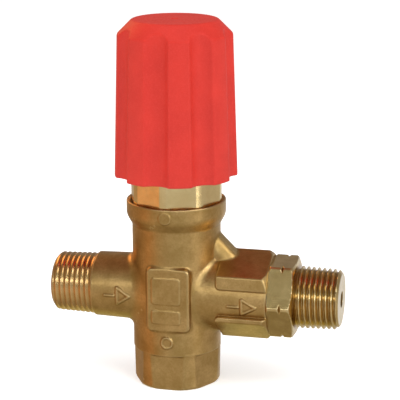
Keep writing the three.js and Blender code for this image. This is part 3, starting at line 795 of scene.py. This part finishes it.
def make_outlet_fitting():
    around = 360
    pocket_floor = FITTING_NOSE + SPRING_POCKET_DEPTH
    stations = [
        (FITTING_NOSE, SPRING_POCKET_R),
        (FITTING_NOSE, SPIGOT_R - 0.8),
        (FITTING_NOSE + 0.8, SPIGOT_R),
        (SPIGOT_RING_FROM, SPIGOT_R),
        (SPIGOT_RING_FROM, SPIGOT_RING_R),
        (SPIGOT_RING_TO, SPIGOT_RING_R),
        (SPIGOT_RING_TO, SPIGOT_R),
        (FITTING_HEX_START, SPIGOT_R),
    ]
    stations += fitting_hexagon(around)
    stations += [(FITTING_HEX_END, NECK_R + 0.5), (FITTING_HEX_END + 0.5, NECK_R)]
    thread_length = FITTING_END - FITTING_HEX_END - 0.7
    stations += pipe_thread(FITTING_END, -1, thread_length, around, OUTLET_THREAD_DEPTH)[::-1]
    stations += [
        (FITTING_END, NOZZLE_R + 0.15),
        (FITTING_END - 0.15, NOZZLE_R),
        (NOZZLE_START, NOZZLE_R),
        (NOZZLE_START, STEM_POCKET_R),
        (pocket_floor, STEM_POCKET_R),
        (pocket_floor, SPRING_POCKET_R),
    ]
    piece = ring_stack("outlet_nipple", stations, "x", around)
    dress(piece, "housing", FITTING_BRASS, "turned_brass", "outlet_fitting")


BONNET_BOTTOM, BONNET_TOP = span("bonnet", "z")
BONNET_FLAT, BONNET_CORNER_R = 15, 15.75
BONNET_FIRST_FLAT = 20.5            # degrees from the front
WRENCH_BOTTOM, WRENCH_TOP = RIM_FLOOR + 0.05, 40.5
BONNET_SPIGOT_R, BONNET_SPIGOT_TOP = 8.7, 16
BONNET_RELIEF_R, BONNET_RELIEF_TOP = 10.5, 20.5
BONNET_THREAD_R = 11.7
PISTON_BORE_R = 6.5
SPRING_CAVITY_R, SPRING_CAVITY_FLOOR = 9.6, 31
BONNET_SEAL_TOP, BONNET_SEAL_HEIGHT, BONNET_SEAL_R = COLLAR_TOP - 2.7, 2.6, 9.8
TUBE_R = 11.8
TUBE_NECK_R = 10.9
TUBE_THREAD_BOTTOM, TUBE_THREAD_TOP = 47, 74.5
TUBE_THREAD_PITCH, TUBE_THREAD_DEPTH = 1.5, 0.85
STOP_GROOVE_FROM, STOP_GROOVE_TO = 74.9, 76.3


def bonnet_octagon(around):
    """Stations of the bonnet's octagon, its corners turned down under the top face."""
    flats = polygon_radius(8, BONNET_FLAT, BONNET_FIRST_FLAT, around)
    stations = []
    for z in np.arange(WRENCH_BOTTOM, WRENCH_TOP + 0.01, 0.2):
        limit = min(BONNET_CORNER_R, BONNET_CORNER_R - 0.6 + (WRENCH_TOP - z) * 1.5)
        stations.append((z, np.minimum(flats, limit)))
    return stations


def tube_thread(around):
    """Stations of the right-handed thread on the spring tube, which the knob's insert runs on."""
    stations = []
    for z in np.arange(TUBE_THREAD_BOTTOM, TUBE_THREAD_TOP, TUBE_THREAD_PITCH / 8):
        phase = (z / TUBE_THREAD_PITCH - angles(around) / (2 * math.pi)) % 1.0
        depth = TUBE_THREAD_DEPTH * np.clip(np.abs(phase - 0.5) * 2, 0.12, 0.9)
        stations.append((z, TUBE_R - depth))
    return stations


def make_bonnet():
    around = 360
    seal_bottom = BONNET_SEAL_TOP - BONNET_SEAL_HEIGHT
    stations = [
        (BONNET_BOTTOM, PISTON_BORE_R),
        (BONNET_BOTTOM, BONNET_SPIGOT_R),
        (BONNET_SPIGOT_TOP, BONNET_SPIGOT_R),
        (BONNET_SPIGOT_TOP, BONNET_RELIEF_R),
        (BONNET_RELIEF_TOP, BONNET_RELIEF_R),
        (BONNET_RELIEF_TOP, BONNET_THREAD_R),
        (seal_bottom, BONNET_THREAD_R),
        (seal_bottom, BONNET_SEAL_R),
        (BONNET_SEAL_TOP, BONNET_SEAL_R),
        (BONNET_SEAL_TOP, BONNET_THREAD_R),
        (WRENCH_BOTTOM, BONNET_THREAD_R),
    ]
    stations += bonnet_octagon(around)
    stations += [(z, TUBE_NECK_R) for z in (WRENCH_TOP, 46, TUBE_THREAD_BOTTOM - 0.2)]
    stations += tube_thread(around)
    stations += [
        (STOP_GROOVE_FROM, TUBE_R),
        (STOP_GROOVE_FROM, TUBE_NECK_R),
        (STOP_GROOVE_TO, TUBE_NECK_R),
        (STOP_GROOVE_TO, TUBE_R),
        (BONNET_TOP - 0.4, TUBE_R),
        (BONNET_TOP, TUBE_R - 0.4),
        (BONNET_TOP, SPRING_CAVITY_R + 0.3),
        (BONNET_TOP - 0.3, SPRING_CAVITY_R),
        (SPRING_CAVITY_FLOOR, SPRING_CAVITY_R),
        (SPRING_CAVITY_FLOOR, PISTON_BORE_R),
    ]
    piece = ring_stack("bonnet_octagon", stations, "z", around)
    dress(piece, "housing", SLOTS["turned_brass"], "turned_brass", "bonnet")


# ---- Knob ----------------------------------------------------------------------------------------

KNOB_RIM, KNOB_TOP = span("knob", "z")
KNOB_RIM_R = 20.9
KNOB_DRAFT = 1.5 / 48.2
KNOB_SHOULDER_SUM = 108.3           # radius plus height on the 45-degree chamfer under the top face
SCALLOPS = 8
SCALLOP_DEPTH = 2.2
SCALLOP_TOOL_R = 5.8
SCALLOP_FIRST = math.radians(-4.6)
SKIRT_BORE_R, SKIRT_BORE_TOP = 16.9, 58.7
CAP_BORE_R, CAP_BORE_TOP = 14.8, 88.3
BORE_NARROWING = 0.7                # fall of the radius per millimetre, from one bore to the other
GATE_R, GATE_HALF_WIDTH, GATE_DEPTH = 0.9, 0.25, 0.35
KNOB_STEP = 0.35


def knob_field(x, y, z):
    across = np.hypot(x, y)
    outer_r = KNOB_RIM_R - (z - KNOB_RIM) * KNOB_DRAFT
    pitch = 2 * math.pi / SCALLOPS
    angle = np.arctan2(x, -y) - SCALLOP_FIRST
    off = (angle + pitch / 2) % pitch - pitch / 2
    tool = np.hypot(across * np.cos(off) - outer_r + SCALLOP_DEPTH - SCALLOP_TOOL_R, across * np.sin(off))
    side = rounded_cut(across - outer_r, tool - SCALLOP_TOOL_R, 0.4)
    shoulder = (across + z - KNOB_SHOULDER_SUM) / math.sqrt(2)
    gate = GATE_DEPTH * soft_step(np.abs(across - GATE_R) - GATE_HALF_WIDTH, 0.5)
    solid = rounded_common(side, shoulder, 0.35)
    solid = rounded_common(solid, z - KNOB_TOP + gate, 0.45)
    solid = rounded_common(solid, KNOB_RIM - z, 0.35)
    bore_bottom = SKIRT_BORE_TOP - 0.7
    taper_top = SKIRT_BORE_TOP + (SKIRT_BORE_R - CAP_BORE_R) / BORE_NARROWING
    taper = across - SKIRT_BORE_R + (z - SKIRT_BORE_TOP) * BORE_NARROWING
    bores = [
        np.maximum(across - SKIRT_BORE_R, z - SKIRT_BORE_TOP),
        np.maximum(taper / math.hypot(1, BORE_NARROWING), between(z, bore_bottom, taper_top)),
        np.maximum(across - CAP_BORE_R, between(z, bore_bottom, CAP_BORE_TOP)),
    ]
    return rounded_cut(solid, np.minimum.reduce(bores), 0.5)


def make_knob():
    reach = KNOB_RIM_R + 1
    low, high = (-reach, -reach, KNOB_RIM - 1), (reach, reach, KNOB_TOP + 1)
    piece = field_piece("knob_cap", knob_field, low, high, KNOB_STEP)
    dress(piece, "knob", SLOTS["red_plastic"], "red_plastic", "knob")


# ---- Springs -------------------------------------------------------------------------------------


# Mean radius of the coil, radius of the wire and number of turns
MAIN_COIL = (7.3, 1.7, 6.5)
CHECK_COIL = (4.6, 0.5, 5)
CLOSED_GAP = 0.3                    # between the turns at a spring's ends
RINGS_PER_TURN = 32
WIRE_SIDES = 12


def make_spring(name, node, axis, coil, part=(0, 1)):
    """A coil between the ends of its CAD node, with its first and last turns lying almost closed, or just
    the part of that coil between two shares of its turns."""
    mean_r, wire_r, turns = coil
    low, high = span(node, axis)
    rings = round((part[1] - part[0]) * turns * RINGS_PER_TURN) + 1
    turn = np.linspace(part[0] * turns, part[1] * turns, rings)
    opened = np.clip(turn - 1, 0, turns - 2)
    closed_pitch = 2 * wire_r + CLOSED_GAP
    open_pitch = (high - low - 2 * wire_r - 2 * closed_pitch) / (turns - 2)
    height = low + wire_r + (turn - opened) * closed_pitch + opened * open_pitch
    angle = 2 * math.pi * turn
    flat = np.zeros_like(angle)
    radial = np.stack([np.cos(angle), np.sin(angle), flat], 1)
    forward = np.stack([-mean_r * np.sin(angle), mean_r * np.cos(angle), np.gradient(height, angle)], 1)
    forward /= np.linalg.norm(forward, axis=1)[:, None]
    across = np.cross(forward, radial)
    centre = mean_r * radial + np.stack([flat, flat, height], 1)
    u = angles(WIRE_SIDES)[:, None, None]
    points = centre + wire_r * (np.cos(u) * radial + np.sin(u) * across)
    points = points.transpose(1, 0, 2).reshape(-1, 3)
    if axis == "x":
        points = points[:, [2, 1, 0]] * (1, 1, -1)
    index = np.arange(len(points)).reshape(-1, WIRE_SIDES)
    after = np.roll(index, -1, 1)
    quads = np.stack([index[:-1], after[:-1], after[1:], index[1:]], -1).reshape(-1, 4)
    faces = [*quads, index[0][::-1], index[-1]]
    piece = mesh_piece(name, points, faces, CREASE)
    return dress(piece, None, SLOTS["spring_steel"], "spring_steel", node)


def make_springs():
    """Both springs. The main spring is pushed at either end, so it is made in two halves that
    meet at its middle."""
    low, high = span("main_spring", "z")
    lower = make_spring("main_coil_lower", "main_spring", "z", MAIN_COIL, (0, 0.5))
    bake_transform(lower)
    upper = make_spring("main_coil_upper", "main_spring", "z", MAIN_COIL, (0.5, 1))
    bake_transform(upper)
    low, high = span("check_spring", "x")
    check = make_spring("check_coil", "check_spring", "x", CHECK_COIL)
    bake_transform(check)


make_forging()
make_inlet_thread()
make_outlet_fitting()
make_bonnet()
make_knob()
make_springs()

# ---- Stage, light and camera ---------------------------------------------------------------------


def make_floor():
    """Pale and plain from above, and clear from below so that the valve's underside can be looked at."""
    mesh = bpy.data.meshes.new("floor")
    half = 6.0
    corners = [(-half, -half, 0), (half, -half, 0), (half, half, 0), (-half, half, 0)]
    mesh.from_pydata(corners, [], [(0, 1, 2, 3)])
    floor = bpy.data.objects.new("floor", mesh)
    bpy.context.scene.collection.objects.link(floor)
    shader = Shader("floor_paint")
    colour = shader.mix(shader.noise(80), (0.88, 0.88, 0.88), (0.9, 0.9, 0.9))
    shader.join(colour, shader.surface.inputs["Emission Color"])
    mesh.materials.append(shader.finish(colour, 0.6, None, Emission_Strength=0.45))
    see_through = shader.node("ShaderNodeMixShader")
    shader.join(shader.node("ShaderNodeNewGeometry").outputs["Backfacing"], see_through.inputs["Fac"])
    shader.join(shader.surface.outputs["BSDF"], see_through.inputs[1])
    shader.join(shader.node("ShaderNodeBsdfTransparent").outputs["BSDF"], see_through.inputs[2])
    shader.join(see_through.outputs["Shader"], shader.tree.nodes["Material Output"].inputs["Surface"])
    floor.visible_glossy = False


def toward(azimuth, elevation):
    """Unit vector to a point of the studio. Azimuth 0 is in front of the valve and 90 to its right."""
    a, e = math.radians(azimuth), math.radians(elevation)
    return Vector((math.sin(a) * math.cos(e), -math.cos(a) * math.cos(e), math.sin(e)))


VALVE_MIDDLE = Vector((0, 0, 0.06))
SOFTBOX_DISTANCE = 0.9
WARM_WHITE = (1.0, 0.98, 0.95)


def softbox(name, azimuth, elevation, size, power, colour):
    """An area light aimed at the valve's middle, which no shiny surface mirrors."""
    towards = toward(azimuth, elevation)
    light = bpy.data.lights.new(name, "AREA")
    light.shape, (light.size, light.size_y) = "RECTANGLE", size
    light.energy, light.color = power, colour
    lamp = bpy.data.objects.new(name, light)
    lamp.location = VALVE_MIDDLE + towards * SOFTBOX_DISTANCE
    lamp.rotation_mode = "QUATERNION"
    lamp.rotation_quaternion = (-towards).to_track_quat("-Z", "Y")
    lamp.visible_glossy = False
    bpy.context.scene.collection.objects.link(lamp)


# Lamps that only shiny surfaces mirror: azimuth, elevation and radius in degrees, and colour times strength
MIRRORED_LAMPS = [
    (67, 18, 8, (4.0, 4.0, 4.0)),
    (66, -14, 6, (1.4, 1.35, 1.25)),
    (66, 42, 10, (4.2, 4.2, 4.2)),
    (-128, 26, 15, (2.6, 1.2, 0.45)),
    (-62, -16, 12, (0.32, 0.08, 0.01)),
    (168, -12, 18, (0.3, 0.33, 0.4)),
    (-156, -58, 22, (0.22, 0.24, 0.02)),
]
STRIP_STRENGTH = 3.6


def mirrored_tent(sky):
    """What shiny pieces mirror: pale in front and on the right, warm and dark above and on the left, with
    a long strip lamp across the front and a few round ones."""
    direction = sky.node("ShaderNodeTexCoord").outputs["Generated"]
    split = sky.node("ShaderNodeSeparateXYZ")
    sky.join(direction, split.inputs[0])
    x, y, z = (split.outputs[axis] for axis in "XYZ")
    by_height = sky.colours(sky.ramp(z, -1, 1, 0, 1), [
        (0.0, (0.34, 0.29, 0.20)), (0.12, (0.58, 0.54, 0.44)), (0.37, (0.65, 0.62, 0.585)),
        (0.55, (0.50, 0.52, 0.52)), (0.68, (0.47, 0.51, 0.50)), (0.81, (0.42, 0.44, 0.40)),
        (0.90, (0.36, 0.27, 0.22)), (1.0, (0.34, 0.22, 0.18)),
    ])
    by_side = sky.colours(sky.ramp(x, -1, 1, 0, 1), [
        (0.0, (0.80, 0.53, 0.33)), (0.15, (0.92, 0.72, 0.52)), (0.28, (0.95, 0.86, 0.78)),
        (0.5, (0.96, 0.94, 0.95)), (0.67, (1.0, 1.0, 1.0)), (1.0, (0.95, 0.90, 0.88)),
    ])
    behind = sky.ramp(y, -1, 1, 0, 1)
    ground = sky.mix(behind, (1.0, 1.0, 1.0), (0.8, 0.78, 0.74))
    above = sky.mix(behind, (1.0, 1.0, 1.0), (0.66, 0.54, 0.52))
    by_depth = sky.mix(sky.ramp(z, -0.1, 0.1, 0, 1), ground, above)
    tent = sky.mix(1.0, sky.mix(1.0, by_height, by_side, "MULTIPLY"), by_depth, "MULTIPLY")
    strip = sky.times(sky.window(z, 0.27, 0.34, 0.04), sky.window(x, -0.35, 0.97, 0.1))
    strip = sky.times(strip, sky.ramp(y, -0.15, 0.0, STRIP_STRENGTH, 0))
    tent = sky.mix(1.0, tent, strip, "ADD")
    for azimuth, elevation, radius, light in MIRRORED_LAMPS:
        nearness = sky.node("ShaderNodeVectorMath", operation="DOT_PRODUCT")
        nearness.inputs[1].default_value = toward(azimuth, elevation)
        sky.join(direction, nearness.inputs[0])
        outer, inner = (math.cos(math.radians(radius * share)) for share in (1.3, 0.7))
        disc = sky.ramp(nearness.outputs["Value"], outer, inner, 0, 1)
        tent = sky.mix(1.0, tent, sky.mix(disc, (0, 0, 0), light), "ADD")
    return tent


def make_world():
    """White to the camera, an even grey light for dull surfaces and the mirrored tent for shiny ones."""
    world = bpy.data.worlds.new("studio")
    bpy.context.scene.world = world
    world.use_nodes = True
    sky = Nodes(world.node_tree)
    sky.tree.nodes.clear()
    rays = sky.node("ShaderNodeLightPath")
    light = sky.mix(rays.outputs["Is Glossy Ray"], (0.62, 0.62, 0.62), mirrored_tent(sky))
    shown = sky.mix(rays.outputs["Is Camera Ray"], light, (1, 1, 1))
    background = sky.node("ShaderNodeBackground")
    sky.join(shown, background.inputs["Color"])
    sky.join(background.outputs[0], sky.node("ShaderNodeOutputWorld").inputs["Surface"])


def make_camera():
    """A little right of the front and above the branches' height, with a slight roll."""
    azimuth, elevation, roll = 13.54, 14.68, math.radians(-0.257)
    distance, focal, sensor = 0.5276, 139.5, 36.0
    back = toward(azimuth, elevation)
    data = bpy.data.cameras.new("camera")
    data.lens, data.sensor_width = focal, sensor
    data.clip_start, data.clip_end = 0.01, 50
    camera = bpy.data.objects.new("camera", data)
    level = Vector((0, 0, 1)).cross(back).normalized()
    up = back.cross(level)
    right = level * math.cos(roll) + up * math.sin(roll)
    up = back.cross(right)
    aim = Vector(place((8.309, 0, 32.05)))
    turn = Matrix((right, up, back)).transposed().to_4x4()
    camera.matrix_world = Matrix.Translation(aim + back * distance) @ turn
    bpy.context.scene.collection.objects.link(camera)
    bpy.context.scene.camera = camera


make_floor()
make_world()
softbox("key", 55, 38, (0.5, 0.7), 5, WARM_WHITE)
softbox("fill", -60, 20, (0.5, 0.7), 3, WARM_WHITE)
softbox("top", 10, 80, (0.8, 0.8), 3.2, (1.0, 1.0, 1.0))
make_camera()
bpy.context.scene.view_settings.view_transform = "Standard"
